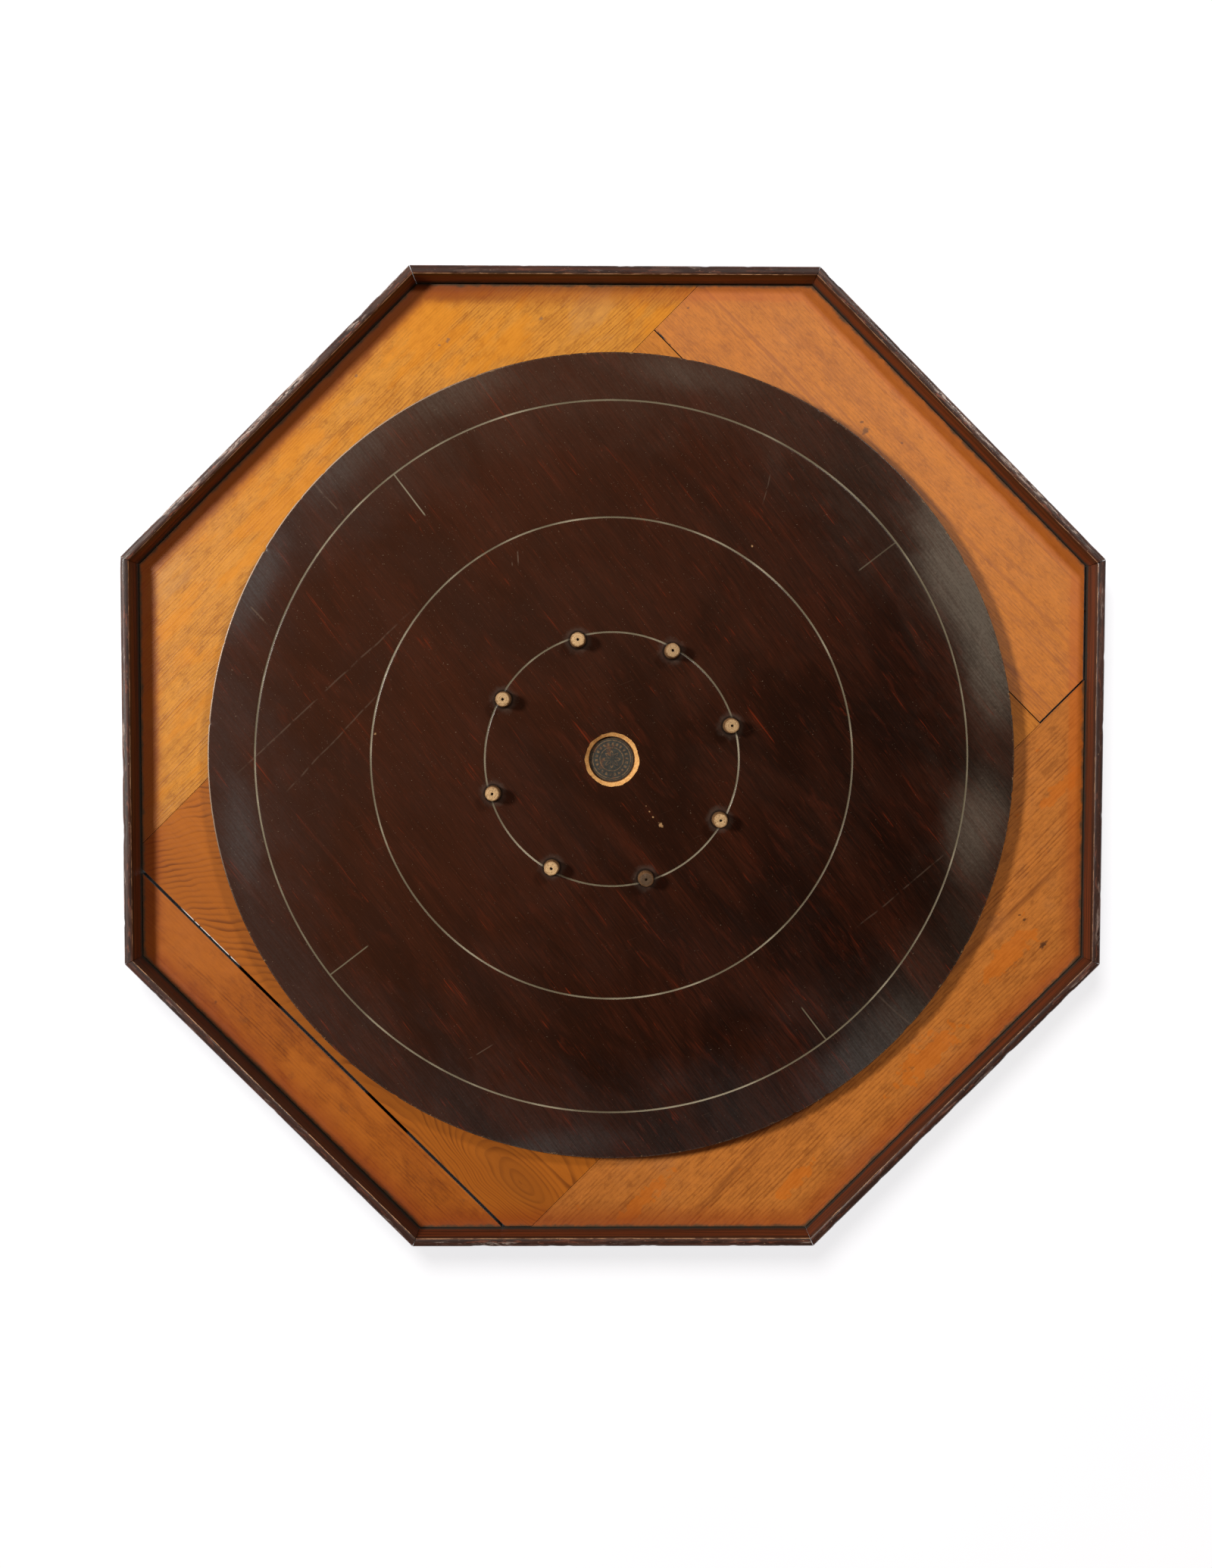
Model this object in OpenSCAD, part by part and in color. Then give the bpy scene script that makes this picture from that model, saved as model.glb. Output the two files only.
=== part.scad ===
// Octagonal crokinole board: a round playing disc with eight pegs and a centre
// recess, glued and screwed to a base of seven planks inside a mitred rail.
// Millimetres. The board lies flat, Z is up, and the origin is at the middle of
// the board on the table.

/* [Board] */
// Width of the octagon across two opposite flats
across_flats = 800; // [796:1:820]
// Height of the rails, from the table to their top
rail_height = 42; // [40:0.5:46]
// Thickness of a rail at its foot
rail_thickness = 10; // [9:0.5:12]
// Open width left at each mitre between two rails
mitre_gap = 0.2; // [0.1:0.05:0.5]

/* [Base] */
// Height of the planks' underside above the table
base_bottom = 10; // [9:0.5:12]
// Thickness of the planks
base_thickness = 12; // [10:0.5:13]
// Gap between the planks' ends and the rails
base_gap = 0.8; // [0.4:0.1:1.5]
// Gap in a tight joint between two planks
joint_gap = 0.35; // [0.2:0.05:0.6]
// Width of the open shrinkage gap beside the outer strip
shrinkage_gap = 2.5; // [1:0.1:4]

/* [Playing disc] */
// Radius of the playing disc
disc_radius = 330; // [325:1:335]
// Thickness of the playing disc
disc_thickness = 14; // [13:0.5:16]
// Width of the three scored circles
line_width = 1.7; // [1:0.1:2.5]
// Depth of the scored lines
line_depth = 0.4; // [0.2:0.1:0.8]
// Direction of the grain and of the first quadrant tick, in degrees
grain_angle = 127.5; // [120:0.5:135]
// How far the disc sits east of the board's middle
disc_shift_east = -1.8; // [-3:0.1:3]
// How far the disc sits north of the board's middle
disc_shift_north = 2.3; // [-3:0.1:3]

/* [Centre recess] */
// Radius of the recess's upright wall
recess_radius = 18.95; // [17:0.05:20]
// Depth of the recess, from the playing surface to the label
recess_depth = 6; // [5:0.1:7]
// Width and depth of the bevel round the recess
recess_bevel = 3; // [2:0.1:3.5]

/* [Pegs] */
// Number of pegs
peg_count = 8; // [8]
// Radius of the circle that the pegs stand on
peg_circle = 101; // [98:0.5:103]
// Height of a peg above the playing surface
peg_height = 15; // [12:0.5:19]
// Radius of a peg at its shoulder
peg_foot_radius = 6.7; // [6.2:0.1:7.5]
// Radius of a peg just below its eased top edge
peg_top_radius = 5.9; // [5.4:0.1:6.1]

/* [Hidden] */
$fn = 96;

// Heights that follow from the driving dimensions
ditch_z = base_bottom + base_thickness;
surface_z = ditch_z + disc_thickness;
recess_floor_z = surface_z - recess_depth;

// Octagon: distance from the middle to the outer and to the inner flats
outer_flat = across_flats / 2;
inner_flat = outer_flat - rail_thickness;
base_flat = inner_flat - base_gap;

// Rail profile, measured inwards from the outer face
rail_cap_width = 7.5;
rail_cap_radius = 3;
rail_cap_arris = 0.5;
rail_quirk_drop = 1.4;
rail_quirk_inset = 0.7;
rail_foot_top = ditch_z + 6;

// Planks as [u from, u to, w from, w to] in a frame turned 45 degrees, where u
// points to the north east and w to the north west. The two outer planks run
// along u, and the five between them run along w.
plank_reach = outer_flat;
outer_plank_edge = 227;
open_end_gap = 1.5;
upper_right_edge = 273;
upper_right_gap = 0.9;
centre_joint = 41;
lower_left_edge = -190;
strip_edge = -341;
inner_w = [-outer_plank_edge + joint_gap, outer_plank_edge - joint_gap];
PLANKS = [
    [-plank_reach, plank_reach, outer_plank_edge, plank_reach],
    [upper_right_edge, plank_reach, -outer_plank_edge + open_end_gap, inner_w[1]],
    [-plank_reach, plank_reach, -plank_reach, -outer_plank_edge],
    [strip_edge + shrinkage_gap, lower_left_edge, inner_w[0], inner_w[1]],
    [-plank_reach, strip_edge, inner_w[0], inner_w[1]],
    [centre_joint, upper_right_edge - upper_right_gap, inner_w[0], inner_w[1]],
    [lower_left_edge + joint_gap, centre_joint - joint_gap, inner_w[0], inner_w[1]]
];
// Two planks stop short of the rail beyond the usual gap, by these amounts
east_short = 1.4;
south_short = 0.6;

// Battens across the five middle planks
batten_w = 75;
batten_half_length = 378;
batten_width = 48;
batten_bottom = 1;
batten_end_bevel = 6;

// Slotted countersunk wood screws
screw_shank_radius = 1.7;
screw_head_radius = 3.4;
screw_head_height = 2.6;
screw_slot_width = 0.8;
screw_slot_depth = 0.8;
screw_tip = 2.5;
batten_screw_length = 16;
disc_screw_length = 22;
fastener_clearance = 0.05;
BATTEN_SCREW_U = [-365, -310, -225, -150, 0, 80, 230, 305, 360];
// Screws up into the disc, as [u, w], clear of the battens, pegs and joints
DISC_SCREWS = [
    [-150, 270], [0, 270], [150, 270],
    [-150, -270], [0, -270], [150, -270],
    [298, 0], [283, 130], [283, -130],
    [150, 165], [150, -165], [160, 0],
    [-80, 165], [-80, -165], [-160, 0],
    [-265, 0], [-240, 165], [-240, -165]
];

// Rail nails, driven through a rail into the edge of the planks
nail_radius = 0.7;
nail_head_radius = 1.5;
nail_head_height = 0.8;
nail_length = 28;
nail_z = base_bottom + base_thickness / 2;
NAIL_PLACES = [-125, 5, 125];

// Pegs: tenon in the disc, and a brad down the middle
peg_phase = 16;
peg_tenon_radius = 4.5;
peg_tenon_length = 8;
peg_edge_radius = 1.2;
peg_bore_radius = 0.95;
brad_radius = 0.85;
brad_sunk = 3;
brad_length = 24;

// Scored lines
LINE_RADII = [291.3, 196.9, 103.9];
TICK_LENGTHS = [41, 38.5, 33, 37];
tick_width = 1.2;

// Centre label
label_thickness = 0.3;
label_radius = recess_radius - 0.6;

disc_colour = [0.20, 0.10, 0.07];
pine_colour = [0.80, 0.47, 0.16];
rail_colour = [0.27, 0.14, 0.09];
peg_colour = [0.72, 0.58, 0.38];
batten_colour = [0.62, 0.42, 0.24];
steel_colour = [0.45, 0.43, 0.40];
label_colour = [0.16, 0.17, 0.16];

// A 2D octagon whose flats lie at the given distance from the middle
module octagon(flat) {
    circle(r = flat / cos(22.5), $fn = 8);
}

// The octagon turned so that a flat faces each compass point
module board_outline(flat) {
    rotate([0, 0, 22.5]) octagon(flat);
}

// True where a point in the turned frame lies on a plank
function on_plank(p, plank) =
    p[0] > plank[0] && p[0] < plank[1] && p[1] > plank[2] && p[1] < plank[3];

// A point of the board in the turned frame
function turned(p) = [(p[0] + p[1]) / sqrt(2), (p[1] - p[0]) / sqrt(2)];

// The inner end of a nail, for rail number i and distance s along it
function nail_point(i, s) =
    let (a = 90 + 45 * i, r = outer_flat - nail_length / 2)
    [r * cos(a) - s * sin(a), r * sin(a) + s * cos(a)];

// Points of an arc, for profiles
function arc(c, r, from, to, steps) =
    [for (k = [0:steps]) let (a = from + (to - from) * k / steps) c + r * [cos(a), sin(a)]];

// A slotted countersunk screw pointing up, with its head's face at z = 0. Given
// a clearance it is the solid hole that the screw needs.
module screw(length, clearance = 0) {
    shank = screw_shank_radius + clearance;
    difference() {
        union() {
            cylinder(r1 = screw_head_radius + clearance, r2 = shank, h = screw_head_height, $fn = 48);
            cylinder(r = shank, h = length - screw_tip, $fn = 48);
            translate([0, 0, length - screw_tip])
                cylinder(r1 = shank, r2 = 0.3, h = screw_tip, $fn = 48);
        }
        if (clearance == 0)
            translate([-screw_head_radius - 1, -screw_slot_width / 2, -1])
                cube([2 * screw_head_radius + 2, screw_slot_width, 1 + screw_slot_depth]);
    }
}

// A nail along +Y with its head's face at y = 0
module nail(clearance = 0) {
    rotate([-90, 0, 0]) {
        cylinder(r = nail_head_radius + clearance, h = nail_head_height, $fn = 32);
        cylinder(r = nail_radius + clearance, h = nail_length, $fn = 32);
    }
}

// The nail of rail number i at distance s along the rail, where rail 0 is north
module placed_nail(i, s, clearance = 0) {
    rotate([0, 0, 180 + 45 * i])
        translate([s * -1, -outer_flat, nail_z]) nail(clearance);
}

// Batten screws of one batten, seen in the turned frame
module batten_screw_row(side, clearance = 0) {
    for (u = BATTEN_SCREW_U)
        translate([u, side * batten_w, batten_bottom]) screw(batten_screw_length, clearance);
}

// One plank, cut to the octagon, with the holes for its own fasteners
module plank(n, short_side = [0, 0]) {
    rect = PLANKS[n];
    color(pine_colour) difference() {
        translate([0, 0, base_bottom]) linear_extrude(base_thickness) intersection() {
            board_outline(base_flat);
            translate([-base_flat, -base_flat + short_side[1]])
                square([2 * base_flat - short_side[0], 2 * base_flat]);
            rotate([0, 0, 45]) translate([rect[0], rect[2]])
                square([rect[1] - rect[0], rect[3] - rect[2]]);
        }
        rotate([0, 0, 45]) {
            for (side = [-1, 1], u = BATTEN_SCREW_U)
                if (on_plank([u, side * batten_w], rect))
                    translate([u, side * batten_w, batten_bottom])
                        screw(batten_screw_length, fastener_clearance);
            for (p = DISC_SCREWS)
                if (on_plank(p, rect))
                    translate([p[0], p[1], base_bottom]) screw(disc_screw_length, fastener_clearance);
        }
        for (i = [0:7], s = NAIL_PLACES)
            if (on_plank(turned(nail_point(i, s)), rect)) placed_nail(i, s, fastener_clearance);
    }
}

// A batten across the back, side +1 to the north west and -1 to the south east
module batten(side) {
    top = base_bottom;
    color(batten_colour) rotate([0, 0, 45]) difference() {
        translate([0, side * batten_w + batten_width / 2, 0]) rotate([90, 0, 0])
            linear_extrude(batten_width) polygon([
                [-batten_half_length + batten_end_bevel, batten_bottom],
                [batten_half_length - batten_end_bevel, batten_bottom],
                [batten_half_length, batten_bottom + batten_end_bevel],
                [batten_half_length, top], [-batten_half_length, top],
                [-batten_half_length, batten_bottom + batten_end_bevel]
            ]);
        batten_screw_row(side, fastener_clearance);
    }
}

// Angle of a peg round the disc
function peg_angle(n) = peg_phase + n * 360 / peg_count;

// Moves what is drawn round the origin to the middle of the disc
module on_disc() {
    translate([disc_shift_east, disc_shift_north, 0]) children();
}

// Moves what is drawn round the Z axis to the axis of a peg
module at_peg(n) {
    on_disc() rotate([0, 0, peg_angle(n)]) translate([peg_circle, 0, 0]) children();
}

// The recess in the middle, with the bevel round it and a pocket for the label
module recess() {
    rotate_extrude() polygon([
        [0, recess_floor_z - label_thickness],
        [label_radius, recess_floor_z - label_thickness],
        [label_radius, recess_floor_z], [recess_radius, recess_floor_z],
        [recess_radius, surface_z - recess_bevel],
        [recess_radius + recess_bevel, surface_z],
        [recess_radius + recess_bevel + 1, surface_z + 1], [0, surface_z + 1]
    ]);
}

// The three scored circles and the four ticks
module scored_lines() {
    translate([0, 0, surface_z - line_depth]) {
        for (r = LINE_RADII) rotate_extrude($fn = 360)
            translate([r - line_width / 2, 0]) square([line_width, line_depth + 1]);
        for (q = [0:3]) rotate([0, 0, grain_angle + 90 * q])
            translate([LINE_RADII[0] - TICK_LENGTHS[q], -tick_width / 2, 0])
                cube([TICK_LENGTHS[q], tick_width, line_depth + 1]);
    }
}

// The playing disc, with its scored lines, peg holes and centre recess
module playing_disc() {
    color(disc_colour) difference() {
        on_disc() difference() {
            translate([0, 0, ditch_z]) cylinder(r = disc_radius, h = disc_thickness, $fn = 360);
            scored_lines();
            recess();
        }
        for (n = [0:peg_count - 1]) at_peg(n) {
            translate([0, 0, surface_z - peg_tenon_length])
                cylinder(r = peg_tenon_radius + fastener_clearance, h = peg_tenon_length + 1);
            translate([0, 0, surface_z + peg_height - brad_sunk - brad_length])
                cylinder(r = brad_radius + fastener_clearance, h = brad_length, $fn = 32);
        }
        rotate([0, 0, 45]) for (p = DISC_SCREWS)
            translate([p[0], p[1], base_bottom]) screw(disc_screw_length, fastener_clearance);
    }
}

// The round label on the floor of the recess
module centre_label() {
    color(label_colour) on_disc() translate([0, 0, recess_floor_z - label_thickness])
        cylinder(r = label_radius - fastener_clearance, h = label_thickness);
}

// A turned peg with a shoulder, an eased top edge and a bore for its brad
module peg(n) {
    edge = arc([peg_top_radius - peg_edge_radius, peg_height - peg_edge_radius], peg_edge_radius, 0, 90, 5);
    color(peg_colour) at_peg(n) translate([0, 0, surface_z])
        rotate_extrude() polygon(concat(
            [[peg_bore_radius, -peg_tenon_length], [peg_tenon_radius, -peg_tenon_length],
             [peg_tenon_radius, 0], [peg_foot_radius, 0]],
            edge,
            [[peg_bore_radius, peg_height]]
        ));
}

// The brads that pin the pegs, as one group
module peg_brads() {
    color(steel_colour) for (n = [0:peg_count - 1]) at_peg(n)
        translate([0, 0, surface_z + peg_height - brad_sunk - brad_length])
            cylinder(r = brad_radius, h = brad_length, $fn = 32);
}

// Section of a rail: x runs inwards from the outer face and y is the height
module rail_section() {
    quirk_z = rail_height - rail_cap_arris - rail_quirk_drop;
    cove_x = rail_cap_width - rail_quirk_inset;
    cove_reach = rail_thickness - cove_x;
    cove_fall = quirk_z - rail_foot_top;
    cove = [for (k = [0:8]) let (t = k / 8)
        [cove_x + cove_reach * (1 - cos(90 * t)), quirk_z - cove_fall * sin(90 * t)]];
    polygon(concat(
        [[0, 0]],
        arc([rail_cap_radius, rail_height - rail_cap_radius], rail_cap_radius, 180, 90, 6),
        [[rail_cap_width - rail_cap_arris, rail_height],
         [rail_cap_width, rail_height - rail_cap_arris], [rail_cap_width, quirk_z]],
        cove,
        [[rail_thickness, 0]]
    ));
}

// Rail number i, mitred at both ends. Rail 0 is north, and they run anticlockwise.
module rail(i) {
    reach = outer_flat * tan(22.5);
    color(rail_colour) difference() {
        rotate([0, 0, 45 * i]) intersection() {
            translate([reach, outer_flat, 0]) rotate([90, 0, -90])
                linear_extrude(2 * reach) rail_section();
            linear_extrude(rail_height + 1) translate([0, mitre_gap / 2 / sin(22.5)])
                polygon([[0, 0], [reach * 1.1, outer_flat * 1.1], [-reach * 1.1, outer_flat * 1.1]]);
        }
        for (s = NAIL_PLACES) placed_nail(i, s, fastener_clearance);
    }
}

// The nails of all eight rails, as one group
module rail_nails() {
    color(steel_colour) for (i = [0:7], s = NAIL_PLACES) placed_nail(i, s);
}

// The screws of both battens, as one group
module batten_screws() {
    color(steel_colour) rotate([0, 0, 45]) for (side = [-1, 1]) batten_screw_row(side);
}

// The screws that hold the disc from below, as one group
module disc_screws() {
    color(steel_colour) rotate([0, 0, 45]) for (p = DISC_SCREWS)
        translate([p[0], p[1], base_bottom]) screw(disc_screw_length);
}

plank(0);  // upper_left_plank
plank(1, [east_short, 0]);  // upper_right_plank
plank(2);  // lower_right_plank
plank(3, [0, south_short]);  // lower_left_plank
plank(4);  // lower_left_strip
plank(5);  // centre_plank_1
plank(6);  // centre_plank_2
batten(1);  // back_batten_1
batten(-1);  // back_batten_2
playing_disc();
centre_label();
peg(0);  // peg_1
peg(1);  // peg_2
peg(2);  // peg_3
peg(3);  // peg_4
peg(4);  // peg_5
peg(5);  // peg_6
peg(6);  // peg_7
peg(7);  // peg_8
rail(0);  // rail_north
rail(1);  // rail_north_west
rail(2);  // rail_west
rail(3);  // rail_south_west
rail(4);  // rail_south
rail(5);  // rail_south_east
rail(6);  // rail_east
rail(7);  // rail_north_east
rail_nails();
batten_screws();
disc_screws();
peg_brads();
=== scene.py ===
# %% [markdown]
# # A crokinole board
#
# The real board is a round playing disc on an octagonal bed of planks, with a
# mitred rail round it. The exact wooden parts come from the CAD frame. Blender
# adds what a saw and a ruler can't draw: worn rails, a chipped disc with a
# hand-cut hole, turned pegs that lean a little, and the finishes.

# %% Load the frame
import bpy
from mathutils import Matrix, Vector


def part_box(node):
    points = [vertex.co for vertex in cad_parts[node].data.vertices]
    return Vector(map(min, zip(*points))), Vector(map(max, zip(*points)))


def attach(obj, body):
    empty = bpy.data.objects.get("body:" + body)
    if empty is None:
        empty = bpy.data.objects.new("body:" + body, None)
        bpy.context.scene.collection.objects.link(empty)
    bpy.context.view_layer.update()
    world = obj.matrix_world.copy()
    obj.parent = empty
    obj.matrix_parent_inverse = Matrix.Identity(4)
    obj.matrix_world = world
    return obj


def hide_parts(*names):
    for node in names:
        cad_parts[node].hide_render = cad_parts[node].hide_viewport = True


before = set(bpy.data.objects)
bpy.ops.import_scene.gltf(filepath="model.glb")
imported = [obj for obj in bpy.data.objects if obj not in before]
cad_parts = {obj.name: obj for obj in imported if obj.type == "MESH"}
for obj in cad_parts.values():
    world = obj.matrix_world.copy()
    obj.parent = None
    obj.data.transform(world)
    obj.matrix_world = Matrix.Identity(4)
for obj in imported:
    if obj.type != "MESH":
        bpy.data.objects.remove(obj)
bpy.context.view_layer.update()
import math

import bmesh
import bpy
from mathutils import Matrix, Vector, noise

MM = 0.001
print("nodes in the frame:", len(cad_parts))

# %% [markdown]
# Every size below is in millimetres, measured from the board's middle on the
# table. The disc isn't quite in the middle of the octagon, as on many old boards.

# %% Sizes shared by the pieces
OUTER_FLAT, INNER_FLAT = 400.0, 390.0
BED_UNDERSIDE, BED_TOP, DISC_TOP = 10.0, 22.0, 36.0
DISC_RADIUS = 330.0
DISC_MIDDLE = Vector((-1.8, 2.3, 0.0))
CIRCLES = (291.3, 196.9, 103.9)
PEG_CIRCLE, PEG_START, PEG_STEP = 101.0, 16.0, 45.0
RECESS_RADIUS, RECESS_FLOOR = 18.95, 30.0
DISC_GRAIN = 127.5
low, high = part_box("playing_disc")
print("disc thickness in mm:", round((high.z - low.z) / MM, 2))

# %% [markdown]
# ## A small language for finishes
#
# Shader nodes are hard to read as a list of links. Here one class wraps a
# socket, so that a sum in Python adds the Math nodes for it. `Finish` makes any
# other node: its kind, its settings, and the values or links of its sockets.

# %% A socket that can be used in sums
class Shade:
    """One output socket. A sum on it adds the Math nodes that work it out."""
    def __init__(self, finish, socket):
        self.finish, self.socket = finish, socket

    def math(self, operation, *others):
        return self.finish.node("ShaderNodeMath", {"operation": operation}, (self, *others))

    def __add__(self, other):
        return self.math("ADD", other)

    def __sub__(self, other):
        return self.math("SUBTRACT", other)

    def __mul__(self, other):
        return self.math("MULTIPLY", other)

    def __truediv__(self, other):
        return self.math("DIVIDE", other)

    def __pow__(self, other):
        return self.math("POWER", other)

    def __rsub__(self, other):
        return self.finish.node("ShaderNodeMath", {"operation": "SUBTRACT"}, (other, self))

    __radd__, __rmul__ = __add__, __mul__

    def rise(self, start, end):
        """0 before start, 1 after end, and smooth between. Start may be above end."""
        return self.finish.node("ShaderNodeMapRange", {"interpolation_type": "SMOOTHSTEP"},
                                {"Value": self, "From Min": start, "From Max": end})

    def band(self, middle, half, soft):
        """1 within half of middle, and 0 from soft beyond that."""
        return (self - middle).math("ABSOLUTE").rise(half + soft, half)


# %% Colours
def paint(red, green, blue, gain=1.0):
    """A colour given in the usual 0 to 255 steps, as the shader wants it."""
    def linear(step):
        c = step / 255
        return gain * (c / 12.92 if c <= 0.04045 else ((c + 0.055) / 1.055) ** 2.4)
    return (linear(red), linear(green), linear(blue), 1.0)


print("half grey as the shader wants it:", round(paint(128, 128, 128)[0], 3))


# %% A material and its nodes
class Finish:
    """A material whose places are in millimetres, and the nodes it is made of."""
    def __init__(self, name, **constants):
        self.material = bpy.data.materials.new(name)
        self.material.use_nodes = True
        self.tree = self.material.node_tree
        self.surface = self.tree.nodes["Principled BSDF"]
        for socket, value in constants.items():
            self.surface.inputs[socket.replace("_", " ")].default_value = value
        coords = self.node("ShaderNodeTexCoord", output="Object")
        self.place = self.node("ShaderNodeMapping", inputs={
            "Vector": coords, "Scale": (1 / MM, 1 / MM, 1 / MM)})

    def node(self, kind, settings=None, inputs=(), output=0):
        made = self.tree.nodes.new(kind)
        for key, value in (settings or {}).items():
            setattr(made, key, value)
        for key, value in inputs.items() if isinstance(inputs, dict) else enumerate(inputs):
            self.plug(made.inputs[key], value)
        return Shade(self, made.outputs[output])

    def plug(self, socket, value):
        if isinstance(value, Shade):
            self.tree.links.new(value.socket, socket)
        else:
            socket.default_value = value

    def split(self, vector):
        first = self.node("ShaderNodeSeparateXYZ", inputs=(vector,))
        return [Shade(self, socket) for socket in first.socket.node.outputs]

    def join(self, x, y, z):
        return self.node("ShaderNodeCombineXYZ", inputs=(x, y, z))

    def turned(self, angle, vector=None, shift=(0, 0, 0), stretch=(1, 1, 1)):
        """Coordinates with x along a direction in the board's plane."""
        about = self.node("ShaderNodeMapping", inputs={
            "Vector": vector or self.place, "Rotation": (0, 0, -math.radians(angle))})
        return self.node("ShaderNodeMapping", inputs={
            "Vector": about, "Location": shift, "Scale": stretch})

    def noise(self, vector, scale, detail=2.0, roughness=0.5, distortion=0.0):
        return self.node("ShaderNodeTexNoise", inputs={
            "Vector": vector, "Scale": scale, "Detail": detail,
            "Roughness": roughness, "Distortion": distortion})

    def stretched(self, vector, along, across, detail=3.0, roughness=0.6, seed=0.0):
        """Noise drawn out along x. Along and across are its lengths in millimetres."""
        vector = self.node("ShaderNodeMapping", inputs={
            "Vector": vector, "Location": (seed, seed * 0.7, 0),
            "Scale": (1 / along, 1 / across, 1 / across)})
        return self.noise(vector, 1.0, detail, roughness)

    def mix(self, first, second, factor):
        """The first colour where factor is 0, and the second where it is 1."""
        return self.node("ShaderNodeMix", {"data_type": "RGBA"},
                         {0: factor, 6: first, 7: second}, output=2)

    def bump(self, height, strength, depth_mm=1.0, under=None):
        """A bump of depth_mm, on top of a coarser one if there is one under it."""
        inputs = {"Strength": strength, "Distance": depth_mm * MM, "Height": height}
        if under is not None:
            inputs["Normal"] = under
        return self.node("ShaderNodeBump", inputs=inputs)

    def set(self, **values):
        """Fills the surface shader's sockets and gives back the finished material."""
        for socket, value in values.items():
            self.plug(self.surface.inputs[socket.replace("_", " ")], value)
        return self.material


# %% [markdown]
# ## Marks that several finishes share
#
# The board's shape gives the places of its wear and of the shade painted along
# the rails. The distance to the octagon is the largest of |x|, |y| and their sum
# over the root of two, so grime and painted shade along the rails need no
# drawing. Scratches are thin lines between two points.

# %% Distances and scratches
def octagon_distance(f):
    """How far out a point is, measured square to the nearest flat."""
    x, y, _ = f.split(f.place)
    x, y = x.math("ABSOLUTE"), y.math("ABSOLUTE")
    return x.math("MAXIMUM", y).math("MAXIMUM", (x + y) * math.sqrt(0.5))


def disc_polar(f):
    """Radius and angle round the disc's own middle, and its x and y."""
    x, y, _ = f.split(f.place)
    x, y = x - DISC_MIDDLE.x, y - DISC_MIDDLE.y
    return (x * x + y * y) ** 0.5, y.math("ARCTAN2", x), x, y


def scratch(f, start, end, width, wobble=0.6):
    """A thin line from start to end that fades at its ends and breaks up on the way."""
    (x0, y0), (x1, y1) = start, end
    length = math.hypot(x1 - x0, y1 - y0)
    ux, uy = (x1 - x0) / length, (y1 - y0) / length
    x, y, _ = f.split(f.place)
    dx, dy = x - x0, y - y0
    along = dx * ux + dy * uy
    off = dy * ux - dx * uy + (f.noise(f.place, 0.04, 1) - 0.5) * wobble * 4
    line = off.math("ABSOLUTE").rise(width, width * 0.3)
    ends = along.rise(0, length * 0.12) * along.rise(length, length * 0.8)
    return line * ends * f.noise(f.place, 0.12, 3).rise(0.36, 0.56)


def spot(f, x0, y0, radius, squash=1.0, angle=0.0):
    """A ragged spot round a point, drawn out along an angle."""
    x, y, _ = f.split(f.turned(angle))
    c, s = math.cos(math.radians(angle)), math.sin(math.radians(angle))
    dx, dy = (x - (x0 * c + y0 * s)) / squash, y - (y0 * c - x0 * s)
    reach = (dx * dx + dy * dy) ** 0.5 + (f.noise(f.place, 0.5, 3) - 0.5) * radius * 1.6
    return reach.rise(radius, radius * 0.35)


def spots(f, colour, tint, strength, squash, places):
    """Dark spots at each (x, y, radius, angle)."""
    for x, y, radius, angle in places:
        colour = f.mix(colour, tint, spot(f, x, y, radius, squash, angle) * strength)
    return colour


def gather(masks, operation="ADD"):
    """Several masks made one, by their sum or by the largest."""
    whole = masks[0]
    for mask in masks[1:]:
        whole = whole.math(operation, mask)
    return whole


# %% [markdown]
# ## Softwood planks
#
# The bed is fir under old varnish. A board shows its tree's growth rings where
# the saw cut them, so the pattern is made as a tree makes it: rings round a pith
# that lies somewhere below the board. Where the pith is far to one side the
# lines run straight. Where it is close below they open into arches and loops.

# %% Growth rings in a plank
def growth_rings(f, angle, pith, spacing, wander, slope, seed):
    """0 to 1 through each year's growth, for a board whose grain runs at angle."""
    p = f.turned(angle)
    x, y, z = f.split(p)
    drift = f.stretched(p, 260, 60, 1.0, 0.4, seed) - 0.5
    dip = f.stretched(p, 170, 80, 2.0, 0.5, seed + 9) - 0.5
    ripple = f.stretched(p, 40, 6, 2.0, 0.5, seed + 5) - 0.5
    across = y - pith[0] + drift * wander
    depth = z - pith[1] + x * slope + dip * wander * 0.8
    radius = (across * across + depth * depth) ** 0.5
    years = (radius + ripple * spacing * 0.55) / spacing
    pace = f.noise(f.join(years * 0.13, seed, 0.0), 1.0, 2, 0.6) - 0.5
    return years + pace * 2.0, p


def late_wood(f, rings, seed):
    """The dark part of each year's growth. Some years are darker than others."""
    year = rings.math("FRACT")
    hard = f.node("ShaderNodeTexWhiteNoise", {"noise_dimensions": "1D"},
                  {"W": rings.math("FLOOR") + seed}, output="Value")
    return year.rise(0.35, 0.86) * year.rise(1.0, 0.90) * (hard * 0.7 + 0.3)


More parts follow.
